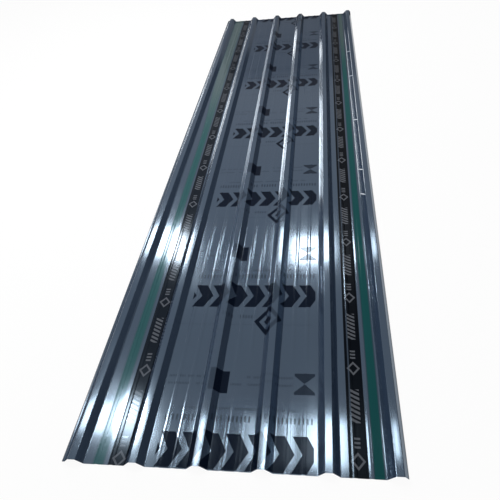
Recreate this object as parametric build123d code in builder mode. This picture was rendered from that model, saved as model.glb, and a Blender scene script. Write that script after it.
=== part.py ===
"""Roof sheet: a ribbed steel cladding sheet with its clear guard film still on.

The sheet lies flat on its pans. X runs across the ribs, Y along them and Z up, and the origin is
the middle of the footprint, at floor level. Lengths are in millimetres.
"""

import os
from math import hypot

from build123d import *

# Sheet
sheet_length = 4000.0
sheet_thickness = 0.5

# Ribs, measured on the sheet's underside
rib_count = 6
rib_pitch = 200.0
rib_height = 25.0
rib_top_width = 23.0
rib_foot_width = 67.6
rib_bend_radius = 3.0

# Stiffening beads, the low ridges along each pan
beads_per_pan = 2
bead_spacing = 49.0
bead_height = 1.6
bead_top_width = 8.0
bead_foot_width = 15.0
bead_bend_radius = 4.0

# Side laps: the first rib goes under the next sheet's last rib, which is a little more open
lip_height = 7.5
lip_width = 9.0
over_lap_play = 2.0
free_edge_height = 11.0

# Guard film
film_thickness = 0.06
film_setback = 4.0

# Derived sizes
web_run = (rib_foot_width - rib_top_width) / 2
web_run_per_height = web_run / rib_height
lip_root = -rib_top_width / 2 - (rib_height - lip_height) * web_run_per_height
lip_edge = lip_root - lip_width
last_rib = (rib_count - 1) * rib_pitch
free_web_top = last_rib + over_lap_play + rib_top_width / 2
free_edge = free_web_top + (rib_height - free_edge_height) * web_run_per_height
free_edge_outside = free_edge + sheet_thickness / hypot(1, web_run_per_height)
middle_of_width = (lip_edge + free_edge_outside) / 2


def ridge(centre: float, foot_width: float, top_width: float, height: float, radius: float) -> list:
    """The four corners of one ridge, from its left foot to its right foot."""
    return [
        (centre - foot_width / 2, 0, radius),
        (centre - top_width / 2, height, radius),
        (centre + top_width / 2, height, radius),
        (centre + foot_width / 2, 0, radius),
    ]


def rib(centre: float) -> list:
    """The corners of one full rib."""
    return ridge(centre, rib_foot_width, rib_top_width, rib_height, rib_bend_radius)


def beads(pan_middle: float) -> list:
    """The corners of the beads along one pan."""
    corners = []
    for bead in range(beads_per_pan):
        centre = pan_middle + (bead - (beads_per_pan - 1) / 2) * bead_spacing
        corners += ridge(centre, bead_foot_width, bead_top_width, bead_height, bead_bend_radius)
    return corners


def underside() -> list:
    """Corners of the sheet's underside from the lip to the free edge: x, z and inside radius."""
    corners = [(lip_edge, lip_height, 0), (lip_root, lip_height, rib_bend_radius)]
    corners += rib(0)[1:]
    for number in range(1, rib_count - 1):
        corners += beads((number - 0.5) * rib_pitch) + rib(number * rib_pitch)
    corners += beads((rib_count - 1.5) * rib_pitch)
    corners += rib(last_rib)[:1] + rib(last_rib + over_lap_play)[1:3]
    corners.append((free_edge, free_edge_height, 0))
    return [(x - middle_of_width, z, radius) for x, z, radius in corners]


def drawn_in(corners: list, setback: float) -> list:
    """The same corners, with both ends drawn in along their own faces."""
    ends = []
    for end, inner in ((corners[0], corners[1]), (corners[-1], corners[-2])):
        start = Vector(end[0], end[1])
        step = (Vector(inner[0], inner[1]) - start).normalized() * setback
        ends.append((start.X + step.X, start.Y + step.Y, 0))
    return [ends[0]] + corners[1:-1] + [ends[1]]


def face_line(corners: list, lift: float) -> tuple[list, list]:
    """Points and bend radii of the face that lies a given distance above the underside."""
    points = [Vector(x, z) for x, z, _ in corners]
    runs = [(after - before).normalized() for before, after in zip(points, points[1:])]
    normals = [Vector(-run.Y, run.X) for run in runs]
    lifted = [points[0] + normals[0] * lift]
    radii = [0]
    for point, left, right, corner in zip(points[1:-1], normals, normals[1:], corners[1:-1]):
        lifted.append(point + (left + right) * (lift / (1 + left.dot(right))))
        turns_up = left.cross(right).Z > 0
        inside_radius = corner[2]
        radii.append(inside_radius + sheet_thickness - lift if turns_up else inside_radius + lift)
    return lifted + [points[-1] + normals[-1] * lift], radii + [0]


def layer_outline(corners: list, bottom: float, top: float) -> tuple[list, list]:
    """Closed outline of a layer between two distances above the underside."""
    bottom_points, bottom_radii = face_line(corners, bottom)
    top_points, top_radii = face_line(corners, top)
    return bottom_points + top_points[::-1], bottom_radii + top_radii[::-1]


# Steel sheet: one rolled section, cut square to length
sheet_points, sheet_radii = layer_outline(underside(), 0, sheet_thickness)
with BuildPart() as roof_sheet:
    with BuildSketch(Plane.XZ):
        with BuildLine():
            FilletPolyline(*sheet_points, radius=sheet_radii, close=True)
        make_face()
    extrude(amount=sheet_length / 2, both=True)

# Guard film: stuck to the painted face before rolling, so it follows every bend and is cut
# to length with the sheet, and stops a little short of the two long edges
film_top = sheet_thickness + film_thickness
film_points, film_radii = layer_outline(drawn_in(underside(), film_setback), sheet_thickness, film_top)
with BuildPart() as guard_film:
    with BuildSketch(Plane.XZ):
        with BuildLine():
            FilletPolyline(*film_points, radius=film_radii, close=True)
        make_face()
    extrude(amount=sheet_length / 2, both=True)

roof_sheet.part.label = "roof_sheet"
guard_film.part.label = "guard_film"

os.makedirs("parts", exist_ok=True)
export_step(roof_sheet.part, "parts/roof_sheet.step")
export_step(guard_film.part, "parts/guard_film.step")
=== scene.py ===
"""Looks of the ribbed roofing sheet: its coil coating and its printed guard film."""

import logging
import math
import operator
from collections.abc import Iterable
from dataclasses import dataclass, field
from functools import reduce
from typing import Union

import bpy
from mathutils import Matrix, Vector


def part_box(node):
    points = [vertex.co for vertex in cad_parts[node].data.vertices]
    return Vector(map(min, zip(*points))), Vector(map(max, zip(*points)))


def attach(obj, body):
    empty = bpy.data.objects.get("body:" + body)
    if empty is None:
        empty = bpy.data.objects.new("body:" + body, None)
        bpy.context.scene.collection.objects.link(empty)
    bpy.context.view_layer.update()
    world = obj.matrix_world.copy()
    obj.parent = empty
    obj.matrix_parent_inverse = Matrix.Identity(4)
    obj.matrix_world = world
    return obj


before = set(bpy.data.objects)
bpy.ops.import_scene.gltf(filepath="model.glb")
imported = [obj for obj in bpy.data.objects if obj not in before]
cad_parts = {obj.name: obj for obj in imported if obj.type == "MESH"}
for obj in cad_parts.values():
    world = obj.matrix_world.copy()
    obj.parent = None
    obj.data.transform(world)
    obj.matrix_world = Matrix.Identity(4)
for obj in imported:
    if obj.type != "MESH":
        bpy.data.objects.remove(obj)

log = logging.getLogger("roofing_sheet")
Number = Union[float, "Signal"]
Colour = tuple[float, float, float]
Span = tuple[float, float]

CRISP = 0.0008
PAINT = (0.020, 0.034, 0.062)

# The sockets of a Mix node that blends colours.
FIRST_COLOUR, SECOND_COLOUR, MIXED_COLOUR = 6, 7, 2


class Signal:
    """A shader socket that Python sums are written on; each sum adds its Math node."""

    def __init__(self, bench: "Bench", socket: bpy.types.NodeSocket) -> None:
        """Keep the socket and the bench that it belongs to."""
        self.bench = bench
        self.socket = socket

    def math(self, operation: str, *values: Number) -> "Signal":
        """Join this signal and other values by one Math node."""
        return self.bench.math(operation, self, *values)

    def __add__(self, other: Number) -> "Signal":
        """Sum."""
        return self.math("ADD", other)

    __radd__ = __add__

    def __mul__(self, other: Number) -> "Signal":
        """Product."""
        return self.math("MULTIPLY", other)

    __rmul__ = __mul__

    def __sub__(self, other: Number) -> "Signal":
        """Difference."""
        return self.math("SUBTRACT", other)

    def __rsub__(self, other: Number) -> "Signal":
        """Difference, with this signal taken away."""
        return self.bench.math("SUBTRACT", other, self)

    def __truediv__(self, other: Number) -> "Signal":
        """Quotient."""
        return self.math("DIVIDE", other)

    def __abs__(self) -> "Signal":
        """Size without sign."""
        return self.math("ABSOLUTE")

    def __mod__(self, period: Number) -> "Signal":
        """Remainder, never negative."""
        return self.math("FLOORED_MODULO", period)

    def __and__(self, other: Number) -> "Signal":
        """Where both masks are, or the lower of two numbers."""
        return self.math("MINIMUM", other)

    def __or__(self, other: Number) -> "Signal":
        """Where either mask is, or the higher of two numbers."""
        return self.math("MAXIMUM", other)

    def step(self, low: Number, high: Number) -> "Signal":
        """Rise smoothly from 0 at low to 1 at high."""
        return self.bench.node(
            "ShaderNodeMapRange",
            {"interpolation_type": "SMOOTHSTEP"},
            {"Value": self, "From Min": low, "From Max": high},
        )

    def below(self, limit: float, blur: float = CRISP) -> "Signal":
        """A mask that is 1 below a value."""
        return 1.0 - self.step(limit - blur, limit + blur)

    def within(self, low: Number, high: Number, blur: float = CRISP) -> "Signal":
        """A mask that is 1 between two values."""
        middle, half = (low + high) / 2, (high - low) / 2
        return 1.0 - abs(self - middle).step(half - blur, half + blur)


def union(masks: Iterable[Signal]) -> Signal:
    """Where any of the masks is."""
    return reduce(operator.or_, masks)


@dataclass(frozen=True)
class Clouds:
    """Cloudy noise: its clouds in a metre on X, Y and Z, its finer layers and their strength."""

    per_metre: tuple[float, float, float]
    detail: float
    roughness: float = 0.5


class Bench:
    """One material's node tree, and the only place where nodes are made."""

    def __init__(self, tree: bpy.types.NodeTree) -> None:
        """Start from an empty tree."""
        self.tree = tree
        self.tree.nodes.clear()

    def node(self, kind: str, settings: dict | None = None, inputs: dict | None = None,
             output: int | str = 0) -> Signal | None:
        """Add a node.

        Args:
            kind: The node's type.
            settings: Properties, set before anything is plugged in.
            inputs: Values or signals by the name or number of their socket.
            output: The socket that is wanted.

        Returns:
            The wanted output, or None if the node has no outputs.
        """
        node = self.tree.nodes.new(kind)
        for name, value in (settings or {}).items():
            setattr(node, name, value)
        for name, value in (inputs or {}).items():
            if isinstance(value, Signal):
                self.tree.links.new(value.socket, node.inputs[name])
            else:
                node.inputs[name].default_value = value
        return Signal(self, node.outputs[output]) if node.outputs else None

    def math(self, operation: str, *values: Number) -> Signal:
        """Add a Math node."""
        return self.node("ShaderNodeMath", {"operation": operation}, dict(enumerate(values)))

    def axes(self, vector: Signal) -> tuple[Signal, ...]:
        """A vector's three numbers."""
        return tuple(
            self.node("ShaderNodeSeparateXYZ", None, {0: vector}, axis) for axis in range(3)
        )

    def place(self) -> tuple[Signal, ...]:
        """The point's place in the part's own frame, axis by axis."""
        return self.axes(self.node("ShaderNodeTexCoord", output="Object"))

    def noise(self, clouds: Clouds, x: Number, y: Number, z: Number) -> Signal:
        """Cloudy noise from 0 to 1.

        Args:
            clouds: How close and how fine the clouds are.
            x: The place on X.
            y: The place on Y.
            z: The place on Z.

        Returns:
            The noise at that place.
        """
        scaled = (value * scale for value, scale in zip((x, y, z), clouds.per_metre))
        place = self.node("ShaderNodeCombineXYZ", None, dict(enumerate(scaled)))
        inputs = {
            "Vector": place, "Scale": 1.0, "Detail": clouds.detail, "Roughness": clouds.roughness
        }
        return self.node("ShaderNodeTexNoise", {"noise_dimensions": "3D"}, inputs)

    def mix(self, share: Number, first: Signal | Colour, second: Signal | Colour) -> Signal:
        """Blend two colours.

        Args:
            share: The second colour's share.
            first: The first colour.
            second: The second colour.

        Returns:
            The blended colour.
        """
        inputs = {"Factor": share}
        for slot, colour in ((FIRST_COLOUR, first), (SECOND_COLOUR, second)):
            inputs[slot] = colour if isinstance(colour, Signal) else (*colour, 1.0)
        return self.node("ShaderNodeMix", {"data_type": "RGBA"}, inputs, MIXED_COLOUR)

    def relief(self, height: Signal) -> Signal:
        """Turn a height in metres into a normal."""
        inputs = {"Strength": 1.0, "Distance": 1.0, "Height": height}
        return self.node("ShaderNodeBump", None, inputs)

    def surface(self, **sockets: Number | Colour) -> Signal:
        """Add a Principled shader.

        Args:
            sockets: Its values, signals and colours, the sockets named in lower case.

        Returns:
            The shader.
        """
        inputs = {}
        for name, value in sockets.items():
            label = name.replace("_", " ").title().replace("Ior", "IOR")
            inputs[label] = (*value, 1.0) if isinstance(value, tuple) else value
        return self.node("ShaderNodeBsdfPrincipled", None, inputs)

    def blend(self, share: Signal, first: Signal, second: Signal) -> Signal:
        """Blend two shaders; the share is the second one's."""
        return self.node("ShaderNodeMixShader", None, {0: share, 1: first, 2: second})

    def close(self, shader: Signal, kind: str = "ShaderNodeOutputMaterial") -> None:
        """Plug a shader into the tree's output."""
        self.node(kind, None, {"Surface": shader})


def new_material(name: str) -> tuple[bpy.types.Material, Bench]:
    """Make a material.

    Args:
        name: The material's name.

    Returns:
        The material and the bench for its nodes.
    """
    material = bpy.data.materials.new(name)
    material.use_nodes = True
    return material, Bench(material.node_tree)


@dataclass(frozen=True)
class SheetLayout:
    """Where the ribs lie across the sheet, in metres."""

    left_edge: float
    near_end: float
    first_rib: float = 0.03611
    pitch: float = 0.2
    rib_top: float = 0.023
    rib_height: float = 0.025
    bead_height: float = 0.0022

    def across(self, x: Signal) -> Signal:
        """Distance across the sheet from the middle of the first rib."""
        return x - (self.left_edge + self.first_rib)

    def along(self, y: Signal) -> Signal:
        """Distance along the sheet from the near end."""
        return y - self.near_end

    def beside_rib(self, across: Signal) -> Signal:
        """Distance across from the middle of the nearest rib, negative on its left."""
        return (across + self.pitch / 2) % self.pitch - self.pitch / 2


@dataclass(frozen=True)
class CoilCoating:
    """Glossy blue-grey paint on the face, a plain grey coat on the back and bare cut ends."""

    face: Colour = PAINT
    back: Colour = (0.36, 0.37, 0.37)
    back_worn: Colour = (0.27, 0.28, 0.285)
    steel: Colour = (0.50, 0.51, 0.53)
    face_up: Span = (-0.1, 0.1)
    end_facing: Span = (0.5, 0.8)
    gloss: float = 0.2
    back_gloss: float = 0.38
    steel_shine: float = 0.9
    rolling: Clouds = Clouds((90.0, 2.0, 1.0), 3.0)
    rolling_depth: float = 0.00002
    rolling_wear: float = 0.3
    scuffs: Clouds = Clouds((9.0, 3.0, 1.0), 5.0, 0.6)
    scuff_level: Span = (0.48, 0.75)
    scuff_wear: float = 0.6
    scuff_dulling: float = 0.1

    def material(self) -> bpy.types.Material:
        """Make the material of the steel sheet.

        Returns:
            The material.
        """
        material, bench = new_material("coil_coating")
        place = bench.place()
        _, facing_end, up = bench.axes(bench.node("ShaderNodeNewGeometry", output="Normal"))
        underneath = 1.0 - up.step(*self.face_up)
        cut = abs(facing_end).step(*self.end_facing)
        rolled = bench.noise(self.rolling, *place)
        scuffs = bench.noise(self.scuffs, *place).step(*self.scuff_level)
        wear = scuffs * self.scuff_wear + rolled * self.rolling_wear
        back = bench.mix(wear, self.back, self.back_worn)
        duller_back = underneath * (self.back_gloss - self.gloss)
        bench.close(bench.surface(
            base_color=bench.mix(cut, bench.mix(underneath, self.face, back), self.steel),
            roughness=self.gloss + duller_back + scuffs * underneath * self.scuff_dulling,
            metallic=cut * self.steel_shine,
            normal=bench.relief(rolled * self.rolling_depth),
        ))
        return material


@dataclass(frozen=True)
class StrokeRow:
    """A row of short upright strokes in uneven groups.

    It has its place and height along the repeat of the print, about how many groups there are in
    a metre, the distance from stroke to stroke, and the spans that it fills across the sheet.
    """

    place: float
    height: float
    groups: float
    stroke: float
    spans: tuple[Span, ...]
    gap_level: Span = (0.40, 0.42)
    stroke_part: Span = (0.12, 0.60)
    stroke_blur: float = 0.0006
    reseed: float = 97.0
    detail: float = 1.0

    def tone(self, bench: Bench, across: Signal, down: Signal) -> Signal:
        """Draw the row.

        Args:
            bench: The material's bench.
            across: Distance across the sheet.
            down: Distance along one repeat of the print.

        Returns:
            A mask of the strokes.
        """
        clouds = Clouds((self.groups, self.reseed, 0.0), self.detail)
        grouped = bench.noise(clouds, across, self.place, 0.0).step(*self.gap_level)
        start, end = (self.stroke * part for part in self.stroke_part)
        strokes = (across % self.stroke).within(start, end, self.stroke_blur)
        row = down.within(self.place - self.height / 2, self.place + self.height / 2)
        return grouped & strokes & row & union(across.within(*span) for span in self.spans)


@dataclass(frozen=True)
class Print:
    """The dark print that repeats along the middle pans of the film.

    Distances across are from the middle of the first rib, and distances along from the far side
    of the bold row, in metres. A middle is its distance across and its distance along.
    """

    repeat: float = 0.654
    start: float = 0.125
    chevrons_across: Span = (0.258, 0.755)
    chevrons_along: Span = (0.532, 0.650)
    chevron_pitch: float = 0.071
    chevron_stroke: Span = (0.010, 0.057)
    chevron_slant: float = 0.55
    chevron_blur: float = 0.001
    diamond_middle: Span = (0.575, 0.457)
    diamond_slant: float = 1.35
    diamond_ring: Span = (0.046, 0.072)
    diamond_blur: float = 0.0012
    diamond_core: float = 0.021
    core_blur: float = 0.001
    swatch_across: Span = (0.393, 0.458)
    swatch_along: Span = (0.142, 0.230)
    pointer_middle: Span = (0.721, 0.186)
    pointer_half: Span = (0.035, 0.042)
    pointer_slant: float = 0.9
    pointer_blur: float = 0.001
    rule_across: Span = (0.215, 0.745)
    rule_along: Span = (0.4420, 0.4445)
    stroke_rows: tuple[StrokeRow, ...] = (
        StrokeRow(0.048, 0.022, 22.0, 0.0135, ((0.26, 0.755),)),
        StrokeRow(0.084, 0.009, 38.0, 0.0060, ((0.30, 0.70),)),
        StrokeRow(0.178, 0.008, 38.0, 0.0056, ((0.240, 0.375), (0.465, 0.680))),
        StrokeRow(0.208, 0.008, 38.0, 0.0056, ((0.240, 0.375), (0.520, 0.680))),
        StrokeRow(0.482, 0.016, 30.0, 0.0110, ((0.375, 0.520),)),
    )
    bold_tone: float = 0.96
    pointer_tone: float = 0.75
    stroke_tone: float = 0.5
    rule_tone: float = 0.25

    def tone(self, bench: Bench, across: Signal, along: Signal) -> Signal:
        """Draw the whole print.

        Args:
            bench: The material's bench.
            across: Distance across the sheet.
            along: Distance along the sheet.

        Returns:
            How dark the print is at a point, from 0 to 1.
        """
        down = (along - self.start) % self.repeat
        swatch = across.within(*self.swatch_across) & down.within(*self.swatch_along)
        rule = down.within(*self.rule_along) & across.within(*self.rule_across)
        strokes = union(row.tone(bench, across, down) for row in self.stroke_rows)
        bold = (
            self.chevrons(across, down)
            | self.diamond(across, down)
            | swatch
            | self.pointer(across, down) * self.pointer_tone
        )
        return bold * self.bold_tone | strokes * self.stroke_tone | rule * self.rule_tone

    def chevrons(self, across: Signal, down: Signal) -> Signal:
        """Draw a row of bold chevrons, pointing across the sheet.

        Args:
            across: Distance across the sheet.
            down: Distance along one repeat of the print.

        Returns:
            A mask of the chevrons.
        """
        middle = sum(self.chevrons_along) / 2
        pointed = across + abs(down - middle) * self.chevron_slant
        stripes = (pointed % self.chevron_pitch).within(*self.chevron_stroke, self.chevron_blur)
        row = down.within(*self.chevrons_along)
        return stripes & row & across.within(*self.chevrons_across)

    def diamond(self, across: Signal, down: Signal) -> Signal:
        """Draw a diamond ring with a solid core.

        Args:
            across: Distance across the sheet.
            down: Distance along one repeat of the print.

        Returns:
            A mask of the ring and the core.
        """
        middle_across, middle_along = self.diamond_middle
        reach = abs(across - middle_across) * self.diamond_slant + abs(down - middle_along)
        ring = reach.within(*self.diamond_ring, self.diamond_blur)
        return ring | reach.below(self.diamond_core, self.core_blur)

    def pointer(self, across: Signal, down: Signal) -> Signal:
        """Draw two triangles, point to point.

        Args:
            across: Distance across the sheet.
            down: Distance along one repeat of the print.

        Returns:
            A mask of the triangles.
        """
        beside, ahead = abs(across - self.pointer_middle[0]), abs(down - self.pointer_middle[1])
        cone = (ahead - beside * self.pointer_slant).step(0.0, self.pointer_blur)
        half_width, half_length = self.pointer_half
        return cone & beside.below(half_width) & ahead.below(half_length)


@dataclass(frozen=True)
class BandMarks:
    """Pale marks along a black band: slanted bars, a diamond and a few short bars by turns.

    Its middle is across from the first rib, and its start along from the near end. The other
    places along are from the start of a repeat, in metres.
    """

    middle: float
    start: float
    repeat: float = 0.329
    bars: Span = (0.020, 0.142)
    bar_pitch: float = 0.0175
    bar_stroke: Span = (0.003, 0.0125)
    bar_slant: float = 0.5
    bar_half: float = 0.014
    diamond: Span = (0.190, 0.262)
    diamond_middle: float = 0.225
    diamond_slant: float = 0.8
    diamond_ring: Span = (0.0145, 0.0225)
    tail: Span = (0.262, 0.304)
    tail_pitch: float = 0.014
    tail_stroke: Span = (0.003, 0.010)
    tail_half: float = 0.009
    fine_blur: float = 0.0006

    def tone(self, across: Signal, along: Signal) -> Signal:
        """Draw the marks.

        Args:
            across: Distance across the sheet.
            along: Distance along the sheet.

        Returns:
            A mask of the marks.
        """
        down = (along - self.start) % self.repeat
        aside = across - self.middle
        slanted = (down + aside * self.bar_slant) % self.bar_pitch
        bars = slanted.within(*self.bar_stroke) & abs(aside).below(self.bar_half)
        reach = abs(aside) + abs(down - self.diamond_middle) * self.diamond_slant
        diamond = reach.within(*self.diamond_ring, self.fine_blur)
        upright = (down - self.tail[0]) % self.tail_pitch
        tail = upright.within(*self.tail_stroke, self.fine_blur) & abs(aside).below(self.tail_half)
        return (
            bars & down.within(*self.bars)
            | diamond & down.within(*self.diamond)
            | tail & down.within(*self.tail)
        )


@dataclass(frozen=True)
class Stripe:
    """A stripe along the film, whose edges move to the left over a stretch of the length.

    Its edges and their moves are across the sheet, and the stretch is from the near end.
    """

    left: float
    right: float
    moves: Span = (0.0, 0.0)
    stretch: Span = (0.0, 1.0)
    blur: float = CRISP

    def moved(self, along: Signal) -> Signal:
        """How far the move has gone at a distance along, from 0 to 1."""
        return along.step(*self.stretch)

    def mask(self, across: Signal, along: Signal) -> Signal:
        """Draw the stripe.

        Args:
            across: Distance across the sheet.
            along: Distance along the sheet.

        Returns:
            A mask of the stripe.
        """
        moved = self.moved(along)
        left, right = self.left - moved * self.moves[0], self.right - moved * self.moves[1]
        return across.within(left, right, self.blur)


@dataclass(frozen=True)
class FilmRelief:
    """Heights in metres that the film's face has and the solid lacks.

    Wrinkles have two depths: the first is everywhere, and the second is added on the pans.
    Places across are from the middle of the first rib, and places along from the near end.
    """

    layout: SheetLayout
    crown_rise: float = 0.00006
    crown_depth: float = 0.0008
    fine_lines: Clouds = Clouds((220.0, 0.7, 0.0), 1.0)
    fine_depths: Span = (0.0000015, 0.0000085)
    waves: Clouds = Clouds((12.0, 1.7, 0.0), 1.0)
    wave_depths: Span = (0.00002, 0.0002)
    stiff_from: float = 0.0060
    steeper_webs: float = 0.12
    steeper_across: Span = (0.45, 0.95)
    flat_near: float = 0.86
    flat_near_ends: Span = (0.35, 0.55)
    flat_rear: float = 0.6
    flat_rear_starts: Span = (1.1, 1.5)
    flat_last: float = 0.8
    flat_last_across: Span = (0.910, 0.938)
    flat_last_blur: float = 0.002

    def height(self, bench: Bench, across: Signal, along: Signal, z: Signal) -> Signal:
        """Add up the relief.

        Args:
            bench: The material's bench.
            across: Distance across the sheet.
            along: Distance along the sheet.
            z: Height above the floor.

        Returns:
            The height at a point.
        """
        return (
            self.crown(across, z)
            + self.wrinkles(bench, across, along, z)
            + across.step(*self.steeper_across) * z * self.steeper_webs
            - (z & self.layout.bead_height) * self.flatter_beads(across, along)
        )

    def crown(self, across: Signal, z: Signal) -> Signal:
        """The slight crown that rolling leaves on the rib tops.

        Args:
            across: Distance across the sheet.
            z: Height above the floor.

        Returns:
            The height at a point.
        """
        offset = self.layout.beside_rib(across) / (self.layout.rib_top / 2)
        rise = (1.0 - offset * offset) * self.crown_rise
        return rise * z.step(self.layout.rib_height - self.crown_depth, self.layout.rib_height)

    def wrinkles(self, bench: Bench, across: Signal, along: Signal, z: Signal) -> Signal:
        """Fine lengthwise lines and slow waves; the stiff ribs have less of them.

        Args:
            bench: The material's bench.
            across: Distance across the sheet.
            along: Distance along the sheet.
            z: Height above the floor.

        Returns:
            The height at a point.
        """
        pans = 1.0 - z.step(self.layout.bead_height, self.stiff_from)
        fine, waves = (
            bench.noise(clouds, across, along, z) * (everywhere + pans * on_pans)
            for clouds, (everywhere, on_pans) in (
                (self.fine_lines, self.fine_depths), (self.waves, self.wave_depths)
            )
        )
        return fine + waves

    def flatter_beads(self, across: Signal, along: Signal) -> Signal:
        """Flatten the beads at the near end, in the rear part and beside the last rib.

        Args:
            across: Distance across the sheet.
            along: Distance along the sheet.

        Returns:
            The share of its height that a bead loses.
        """
        near = self.flat_near - along.step(*self.flat_near_ends) * self.flat_near
        rear = along.step(*self.flat_rear_starts) * self.flat_rear
        last = across.within(*self.flat_last_across, self.flat_last_blur) * self.flat_last
        return near | rear | last


@dataclass(frozen=True)
class FilmWear:
    """Where the print is rubbed off, and where the film is loose.

    The rib tops and the end of a web are given as depths below the top of the ribs. A web's place
    is across from the middle of its rib, and the third rib's from the middle of the first one.
    """

    layout: SheetLayout
    web: Span = (-0.0345, -0.0105)
    web_foot: float = 0.0015
    web_end_depth: float = 0.001
    top_depths: Span = (0.0010, 0.0002)
    tops_rubbed: float = 0.55
    webs_rubbed: float = 0.85
    webs_rubbed_along: Span = (1.1, 1.4)
    third_rib: Span = (0.36, 0.40)
    wander: Clouds = Clouds((0.0, 3.0, 1.0), 2.0)
    wander_layer: float = 5.0
    wander_size: float = 0.003
    low_line: Span = (0.0045, 0.0075)
    high_line: Span = (0.0180, 0.0205)

    def left_web(self, across: Signal, z: Signal) -> Signal:
        """A mask of the webs on the left of the ribs."""
        web_end = self.layout.rib_height - self.web_end_depth
        return self.layout.beside_rib(across).within(*self.web) & z.within(self.web_foot, web_end)

    def rubbed(self, across: Signal, along: Signal, z: Signal) -> Signal:
        """Rub the print: some of it on the rib tops, and most of it on the far left webs.

        Args:
            across: Distance across the sheet.
            along: Distance along the sheet.
            z: Height above the floor.

        Returns:
            The share of the print that is rubbed off.
        """
        tops = z.step(*(self.layout.rib_height - depth for depth in self.top_depths))
        far_webs = self.left_web(across, z) * along.step(*self.webs_rubbed_along)
        return tops * self.tops_rubbed | far_webs * self.webs_rubbed

    def loose(self, bench: Bench, across: Signal, along: Signal, z: Signal) -> Signal:
        """Loosen the film on the third rib's left web, but for two lines.

        Args:
            bench: The material's bench.
            across: Distance across the sheet.
            along: Distance along the sheet.
            z: Height above the floor.

        Returns:
            A mask of the loose film, which looks hazy.
        """
        clouds = bench.noise(self.wander, 0.0, along, self.wander_layer)
        wander = (clouds - 0.5) * self.wander_size
        stuck = (z + wander).within(*self.low_line) | (z - wander).within(*self.high_line)
        return across.within(*self.third_rib) & (1.0 - stuck) & self.left_web(across, z)


@dataclass(frozen=True)
class PrintedFilm:
    """Guard film: clear and glossy, with stripes and a repeating print, seen over the paint.

    Places across are from the middle of the first rib, and places along from the near end, in
    metres. A cover is how much of the paint the ink hides.
    """

    layout: SheetLayout
    left_green: Stripe = Stripe(0.064, 0.100, (0.030, 0.0), (1.9, 2.9), 0.007)
    right_green: Stripe = Stripe(0.930, 0.961, (0.006, 0.006), (0.4, 1.4), 0.004)
    left_black: Stripe = Stripe(0.114, 0.175, (0.006, 0.018), (0.3, 2.3))
    right_black: Stripe = Stripe(0.858, 0.915)
    bare_line: Span = (0.8675, 0.8725)
    bare_line_blur: float = 0.0006
    left_marks: BandMarks = BandMarks(0.1455, 0.126)
    left_marks_move: float = 0.0125
    right_marks: BandMarks = BandMarks(0.8865, 0.155)
    pan_print: Print = Print()
    patches: Clouds = Clouds((7.0, 2.0, 1.0), 4.0, 0.6)
    patch_level: Span = (0.45, 0.8)

    paint: Colour = PAINT
    flake: Colour = (0.62, 0.81, 1.0)
    green: Colour = (0.008, 0.064, 0.066)
    pale_green: Colour = (0.050, 0.078, 0.080)
    black: Colour = (0.0006, 0.0012, 0.003)
    ink: Colour = (0.0015, 0.004, 0.012)
    mark: Colour = (0.13, 0.14, 0.16)
    right_green_fades: Span = (2.6, 3.6)

    left_black_cover: float = 0.87
    left_green_cover: float = 0.55
    left_green_thins: float = 0.42
    patch_cover: Span = (0.7, 0.6)
    bare_line_loss: float = 0.55
    mark_cover: float = 0.7
    mark_fade: float = 0.3
    marks_fade: Span = (1.4, 3.2)

    gloss: float = 0.10
    patch_dulling: float = 0.05
    loose_dulling: float = 0.25
    right_black_dulling: float = 0.12
    clear_ior: float = 2.25
    inked_ior: float = 1.17

    def material(self) -> bpy.types.Material:
        """Make the material of the film: clear film where it is bare, inked film where printed.

        Returns:
            The material.
        """
        material, bench = new_material("guard_film")
        x, y, z = bench.place()
        across, along = self.layout.across(x), self.layout.along(y)
        left_green, right_green, left_black, right_black = (
            stripe.mask(across, along)
            for stripe in (self.left_green, self.right_green, self.left_black, self.right_black)
        )
        wear = FilmWear(self.layout)
        dark = self.pan_print.tone(bench, across, along) * (1.0 - wear.rubbed(across, along, z))

        spread = self.left_green.moved(along)
        fade = spread * left_green | along.step(*self.right_green_fades) * right_green
        green = bench.mix(fade, self.green, self.pale_green)
        colour = bench.mix(left_green | right_green, self.ink, green)
        colour = bench.mix(left_black | right_black, colour, self.black)
        colour = bench.mix(self.marks(across, along), colour, self.mark)

        patches = bench.noise(self.patches, across, along, z)
        loose = wear.loose(bench, across, along, z)
        dulling = patches.step(*self.patch_level) * self.patch_dulling
        gloss = self.gloss + dulling + loose * self.loose_dulling
        relief = bench.relief(FilmRelief(self.layout).height(bench, across, along, z))
        clear_film = bench.surface(
            base_color=bench.mix(left_green, self.paint, green),
            roughness=gloss,
            ior=self.clear_ior,
            specular_tint=self.flake,
            normal=relief,
        )
        inked_film = bench.surface(
            base_color=colour,
            roughness=gloss + right_black * self.right_black_dulling,
            ior=self.inked_ior,
            specular_tint=self.flake,
            normal=relief,
        )

        least, patchy = self.patch_cover
        green_cover = self.left_green_cover - spread * self.left_green_thins
        bared = across.within(*self.bare_line, self.bare_line_blur) * self.bare_line_loss
        inked = (
            right_black - bared
            | left_black * self.left_black_cover
            | right_green
            | left_green * green_cover * (least + patches * patchy)
            | dark
        )
        bench.close(bench.blend(inked, clear_film, inked_film))
        return material

    def marks(self, across: Signal, along: Signal) -> Signal:
        """Draw the marks on both black bands; they fade towards the far end.

        Args:
            across: Distance across the sheet.
            along: Distance along the sheet.

        Returns:
            How pale the marks are at a point, from 0 to 1.
        """
        left_across = across + self.left_black.moved(along) * self.left_marks_move
        marks = self.left_marks.tone(left_across, along) | self.right_marks.tone(across, along)
        return marks * (self.mark_cover - along.step(*self.marks_fade) * self.mark_fade)


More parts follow.
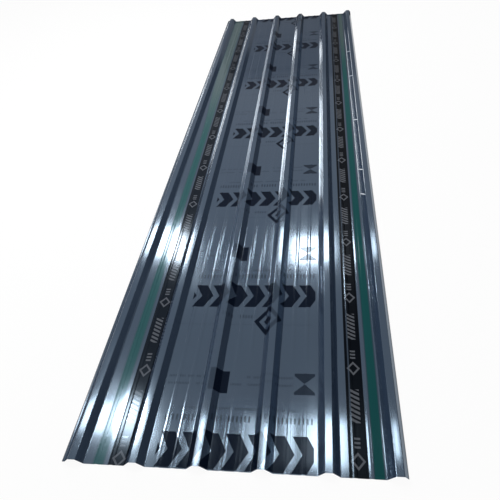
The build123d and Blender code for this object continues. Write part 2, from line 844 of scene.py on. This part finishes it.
@dataclass(frozen=True)
class LiftedFilm:
    """Thin creases where the film has lifted along the last rib's left web: two rails and rungs.

    Places across are from the middle of the first rib, places along from the near end, and
    heights from the floor, in metres. A place on the web is its place across and its height. A
    ridge's size is half its width and half its height.
    """

    layout: SheetLayout
    foot: Span = (0.96572, 0.00111)
    crest: Span = (0.98880, 0.02405)
    reach: Span = (1.36, 3.60)
    rungs: tuple[float, ...] = (1.372, 1.585, 2.107, 2.712, 3.130)
    rung_slant: float = 0.04
    rail_size: Span = (0.0013, 0.00045)
    rung_size: Span = (0.0026, 0.00045)
    rail_steps: int = 46
    rung_steps: int = 10
    ridge_sides: int = 10
    taper_steps: int = 3
    tip: float = 0.3
    waver: float = 0.00025
    waver_turns: Span = (9.0, 3.7)
    foot_start: float = 0.0
    crest_start: float = 2.0
    # Painted highlight: the pale and white colours of the creases are partly the stretched film's
    # own whitening and partly painted glints.
    pale_whitening_and_glint: Colour = (0.50, 0.56, 0.63)
    white: Colour = (0.78, 0.82, 0.87)
    stress_and_glint: Clouds = Clouds((60.0, 14.0, 60.0), 3.0)
    whitening_and_glint_level: Span = (0.35, 0.65)
    gloss: float = 0.16
    stress_dulling: float = 0.16
    stress_depth: float = 0.00008

    def build(self) -> bpy.types.Object:
        """Raise the creases and dress them.

        Returns:
            One piece that holds the rails and the rungs.
        """
        web = (self.point(self.crest, 0.0) - self.point(self.foot, 0.0)).normalized()
        outward = web.cross(Vector((0.0, 1.0, 0.0)))
        hollow = (outward + Vector((0.0, 0.0, 1.0))).normalized()
        ridges = [
            self.ridge(self.rail(self.foot, self.foot_start), hollow, self.rail_size),
            self.ridge(self.rail(self.crest, self.crest_start), outward, self.rail_size),
        ]
        for along in self.rungs:
            start = self.point(self.foot, along + self.rung_slant / 2)
            end = self.point(self.crest, along - self.rung_slant / 2)
            path = [
                start.lerp(end, number / self.rung_steps) for number in range(self.rung_steps + 1)
            ]
            ridges.append(self.ridge(path, outward, self.rung_size))
        bpy.ops.object.select_all(action="DESELECT")
        for ridge in ridges:
            ridge.select_set(True)
        bpy.context.view_layer.objects.active = ridges[0]
        bpy.ops.object.join()
        piece = bpy.context.object
        piece.name = "film_creases"
        piece.data.materials.append(self.material())
        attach(piece, "root")
        return piece

    def point(self, place: Span, along: float) -> Vector:
        """A place on the web at a distance along, in the part's frame."""
        x = self.layout.left_edge + self.layout.first_rib + place[0]
        return Vector((x, self.layout.near_end + along, place[1]))

    def rail(self, place: Span, start: float) -> list[Vector]:
        """The slowly wavering middle line of a rail.

        Args:
            place: The rail's place on the web.
            start: Where its waver starts, in radians.

        Returns:
            The line's points.
        """
        low, high = self.reach
        quick, slow = self.waver_turns
        path = []
        for number in range(self.rail_steps + 1):
            along = low + (high - low) * number / self.rail_steps
            waver = self.waver * math.sin(along * quick + start) * math.sin(along * slow)
            path.append(self.point((place[0] + waver, place[1] + waver), along))
        return path

    def ridge(self, path: list[Vector], up: Vector, half: Span) -> bpy.types.Object:
        """Raise one thin closed ridge that tapers to both ends.

        Args:
            path: Its middle line, on the film's face.
            up: The direction in which it stands proud.
            half: Half its width and half its height.

        Returns:
            The ridge's object.
        """
        run = (path[-1] - path[0]).normalized()
        side = up.cross(run).normalized()
        turn = Matrix((side, run.cross(side), run)).transposed().to_4x4()
        from_end = (min(number, len(path) - 1 - number) for number in range(len(path)))
        widths = [
            self.tip + (1.0 - self.tip) * min(1.0, steps / self.taper_steps) for steps in from_end
        ]
        bpy.ops.object.select_all(action="DESELECT")
        bpy.ops.mesh.primitive_circle_add(
            vertices=self.ridge_sides, radius=1.0, fill_type="NGON"
        )
        ridge = bpy.context.object
        shrink = Matrix.Diagonal((half[0] * widths[0], half[1] * widths[0], 1.0, 1.0))
        ridge.matrix_world = Matrix.Translation(path[0]) @ turn @ shrink
        bpy.ops.object.transform_apply(location=True, rotation=True, scale=True)
        bpy.ops.object.mode_set(mode="EDIT")
        bpy.ops.mesh.select_all(action="SELECT")
        for number in range(1, len(path)):
            bpy.ops.mesh.extrude_region_move(
                TRANSFORM_OT_translate={"value": path[number] - path[number - 1]}
            )
            growth = widths[number] / widths[number - 1]
            if growth != 1.0:
                bpy.ops.transform.resize(
                    value=(growth, growth, growth), center_override=path[number]
                )
        bpy.ops.mesh.select_all(action="SELECT")
        bpy.ops.mesh.normals_make_consistent(inside=False)
        bpy.ops.object.mode_set(mode="OBJECT")
        bpy.ops.object.shade_smooth()
        return ridge

    def material(self) -> bpy.types.Material:
        """Make the look of stretched film: its own milky whitening, and painted glints on the
        creases.

        Returns:
            The material.
        """
        material, bench = new_material("stretched_film_and_glint")
        stress_and_glint = bench.noise(self.stress_and_glint, *bench.place())
        bench.close(bench.surface(
            # Painted highlight: the pale and white colour stands in partly for glints on the
            # creases and partly for the film's whitening.
            base_color=bench.mix(stress_and_glint.step(*self.whitening_and_glint_level), self.pale_whitening_and_glint, self.white),
            roughness=self.gloss + stress_and_glint * self.stress_dulling,
            normal=bench.relief(stress_and_glint * self.stress_depth),
        ))
        return material


@dataclass(frozen=True)
class Lamp:
    """One soft area lamp.

    Its strength is the light that its face gives off, where 1 is white.
    """

    name: str
    place: Vector
    aim: Vector
    size: Span
    strength: float

    def build(self) -> None:
        """Hang the lamp."""
        data = bpy.data.lights.new(self.name, "AREA")
        data.shape = "RECTANGLE"
        data.size, data.size_y = self.size
        data.energy = self.strength * math.pi * self.size[0] * self.size[1]
        lamp = bpy.data.objects.new(self.name, data)
        bpy.context.scene.collection.objects.link(lamp)
        turn = (self.aim - self.place).to_track_quat("-Z", "Y")
        lamp.matrix_world = Matrix.Translation(self.place) @ turn.to_matrix().to_4x4()
        lamp.visible_camera = False


@dataclass(frozen=True)
class Glare:
    """A patch of the pans that mirrors a lamp, on X and Y, and the lamp's share of the light."""

    name: str
    across: Span
    along: Span
    share: float


@dataclass(frozen=True)
class FarCard:
    """A bright card far beyond the sheet.

    The direction of its middle is in degrees left of Y, its lower and upper edge in degrees above
    the horizon, and its width in degrees. Its strength is as a lamp's.
    """

    name: str
    turned_left: float
    edges: Span
    width: float
    strength: float
    distance: float = 30.0

    def build(self) -> None:
        """Stand the card, facing the sheet."""
        low, high = (self.distance * math.tan(math.radians(angle)) for angle in self.edges)
        turn = math.radians(self.turned_left)
        place = Vector((
            -self.distance * math.sin(turn), self.distance * math.cos(turn), (low + high) / 2
        ))
        size = (2 * self.distance * math.tan(math.radians(self.width / 2)), high - low)
        Lamp(self.name, place, Vector((0.0, 0.0, place.z)), size, self.strength).build()


@dataclass(frozen=True)
class Board:
    """A grey board on the floor, which only the gloss of the sheet shows.

    The ends of its foot are on X and Y, and its tone is from 0 to 1.
    """

    name: str
    start: Span
    end: Span
    height: float
    tone: float
    roughness: float = 0.9

    def build(self) -> None:
        """Stand the board."""
        start, end = (Vector((*place, 0.0)) for place in (self.start, self.end))
        run = end - start
        middle = (start + end) / 2 + Vector((0.0, 0.0, self.height / 2))
        bpy.ops.object.select_all(action="DESELECT")
        bpy.ops.mesh.primitive_plane_add(
            size=1.0, location=middle, rotation=(math.pi / 2, 0.0, math.atan2(run.y, run.x))
        )
        board = bpy.context.object
        board.name = self.name
        board.scale = (run.length, self.height, 1.0)
        material, bench = new_material(self.name)
        bench.close(bench.surface(base_color=(self.tone,) * 3, roughness=self.roughness))
        board.data.materials.append(material)
        board.visible_camera = False
        board.visible_shadow = False
        board.visible_diffuse = False


@dataclass
class Studio:
    """Floor, light and camera."""

    camera_place: Vector = field(default_factory=lambda: Vector((0.2988, -2.6708, 1.5174)))
    camera_aim: Vector = field(default_factory=lambda: Vector((-0.0313, -1.0077, 0.0)))
    camera_roll: float = math.radians(-8.088)
    lens: float = 36.82
    sensor: float = 36.0
    floor_size: float = 400.0
    floor_drop: float = 0.001
    floor_grey: float = 0.8
    floor_glow: float = 0.94
    room_light: float = 0.43
    lamp_height: float = 2.5
    lamp_lean: float = 0.0001
    lamp_strength: float = 15.0
    glares: tuple[Glare, ...] = (
        Glare("lamp_left_near", (-0.535, -0.33), (-1.895, -1.787), 0.75),
        Glare("lamp_left_inner", (-0.318, -0.296), (-1.925, -1.82), 1.3),
        Glare("lamp_stripe_near", (-0.436, -0.394), (-1.895, -1.787), 1.4),
        Glare("lamp_band_near", (-0.376, -0.330), (-1.895, -1.785), 17.0),
        Glare("lamp_left_far", (-0.535, -0.38), (-1.04, -0.85), 1.1),
        Glare("lamp_stripe_far", (-0.436, -0.394), (-1.04, -0.87), 0.7),
        Glare("lamp_band_far", (-0.380, -0.338), (-1.07, -0.90), 8.0),
        Glare("lamp_inner_far", (-0.318, -0.296), (-1.09, -0.90), 1.3),
        Glare("lamp_third_near", (0.045, 0.070), (-1.96, -1.82), 0.35),
        Glare("lamp_pan_near", (0.170, 0.190), (-1.965, -1.82), 1.0),
        Glare("lamp_right_near", (0.236, 0.362), (-1.970, -1.82), 0.85),
        Glare("lamp_right_far", (0.154, 0.330), (-1.085, -0.935), 1.6),
        Glare("lamp_middle_near", (-0.112, -0.082), (-2.00, -1.84), 1.5),
        Glare("lamp_middle_far", (-0.106, -0.092), (-1.22, -1.06), 0.8),
        Glare("lamp_fourth_near", (0.092, 0.118), (-2.00, -1.86), 1.8),
        Glare("lamp_fourth_far", (0.090, 0.118), (-1.10, -0.89), 1.5),
        Glare("lamp_edge_near", (0.490, 0.525), (-1.94, -1.83), 0.8),
        Glare("lamp_edge_far", (0.490, 0.525), (-1.07, -0.94), 0.8),
    )
    cards: tuple[FarCard, ...] = (
        FarCard("card_low", 29.9, (6.4, 9.6), 11.8, 14.0),
        FarCard("card_mid", 27.5, (9.7, 12.3), 7.0, 3.2),
        FarCard("card_high", 27.6, (12.3, 16.6), 8.8, 5.6),
        FarCard("card_dim", 20.5, (7.0, 13.0), 4.6, 1.6),
        FarCard("card_end", 18.9, (4.6, 6.6), 2.6, 12.0),
    )
    boards: tuple[Board, ...] = (
        Board("board_far", (-1.4, 6.0), (2.6, 6.0), 2.35, 0.40),
        Board("board_right", (1.6, -2.6), (1.6, 6.0), 0.9, 0.05),
        Board("board_left", (-2.2, -3.0), (-2.2, 1.9), 1.3, 0.35),
        Board("board_end", (-1.6, 2.02), (2.2, 2.02), 0.02, 0.05),
    )

    def build(self) -> None:
        """Build the whole studio."""
        self.build_camera()
        self.build_floor()
        self.build_world()
        for glare in self.glares:
            self.hang(glare)
        for piece in (*self.cards, *self.boards):
            piece.build()
        bpy.context.scene.view_settings.view_transform = "Standard"

    def build_camera(self) -> None:
        """Stand the camera where the photograph was taken from."""
        data = bpy.data.cameras.new("camera")
        data.lens = self.lens
        data.sensor_width = self.sensor
        camera = bpy.data.objects.new("camera", data)
        bpy.context.scene.collection.objects.link(camera)
        turn = (self.camera_aim - self.camera_place).to_track_quat("-Z", "Y").to_matrix().to_4x4()
        roll = Matrix.Rotation(self.camera_roll, 4, "Z")
        camera.matrix_world = Matrix.Translation(self.camera_place) @ turn @ roll
        bpy.context.scene.camera = camera

    def build_floor(self) -> None:
        """Lay a plain floor that looks white and lights the sheet as a pale grey."""
        bpy.ops.object.select_all(action="DESELECT")
        bpy.ops.mesh.primitive_plane_add(
            size=self.floor_size, location=(0.0, 0.0, -self.floor_drop)
        )
        floor = bpy.context.object
        floor.name = "floor"
        material, bench = new_material("floor")
        seen = union(
            bench.node("ShaderNodeLightPath", output=f"Is {kind} Ray")
            for kind in ("Camera", "Glossy", "Transmission")
        )
        grey = (self.floor_grey,) * 3
        plain = bench.node("ShaderNodeBsdfDiffuse", None, {"Color": (*grey, 1.0)})
        white = bench.node("ShaderNodeEmission", None, {"Color": (1.0,) * 4, "Strength": 1.0})
        bench.close(bench.blend(seen * self.floor_glow, plain, white))
        floor.data.materials.append(material)

    def build_world(self) -> None:
        """Surround the floor with a plain, even room."""
        world = bpy.data.worlds.new("room")
        bpy.context.scene.world = world
        world.use_nodes = True
        bench = Bench(world.node_tree)
        light = {"Color": (1.0,) * 4, "Strength": self.room_light}
        bench.close(bench.node("ShaderNodeBackground", None, light), "ShaderNodeOutputWorld")

    def mirrored(self, x: float, y: float) -> Vector:
        """Look into the mirror of the pans.

        Args:
            x: The point of the pans, on X.
            y: The point of the pans, on Y.

        Returns:
            The place at the lamps' height that the camera sees mirrored there.
        """
        reach = self.lamp_height / self.camera_place.z
        return Vector((
            x + (x - self.camera_place.x) * reach,
            y + (y - self.camera_place.y) * reach,
            self.lamp_height,
        ))

    def hang(self, glare: Glare) -> None:
        """Hang a lamp so that its mirror image covers a patch of the pans.

        Args:
            glare: The patch and the lamp's share of the light.
        """
        low = self.mirrored(glare.across[0], glare.along[0])
        high = self.mirrored(glare.across[1], glare.along[1])
        middle = (low + high) / 2
        aim = middle - Vector((0.0, self.lamp_lean, 1.0))
        size = (high.x - low.x, high.y - low.y)
        Lamp(glare.name, middle, aim, size, self.lamp_strength * glare.share).build()


def main() -> None:
    """Dress the sheet and its film, and build the studio around them."""
    logging.basicConfig(level=logging.INFO, format="%(message)s")
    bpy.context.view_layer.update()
    low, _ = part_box("roof_sheet")
    layout = SheetLayout(left_edge=low[0], near_end=low[1])
    for node, finish in (("roof_sheet", CoilCoating()), ("guard_film", PrintedFilm(layout))):
        material = finish.material()
        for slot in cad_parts[node].material_slots:
            slot.material = material
        log.info("dressed %s", node)
    log.info("raised %s", LiftedFilm(layout).build().name)
    Studio().build()
    log.info("built the studio")


if __name__ == "__main__":
    main()
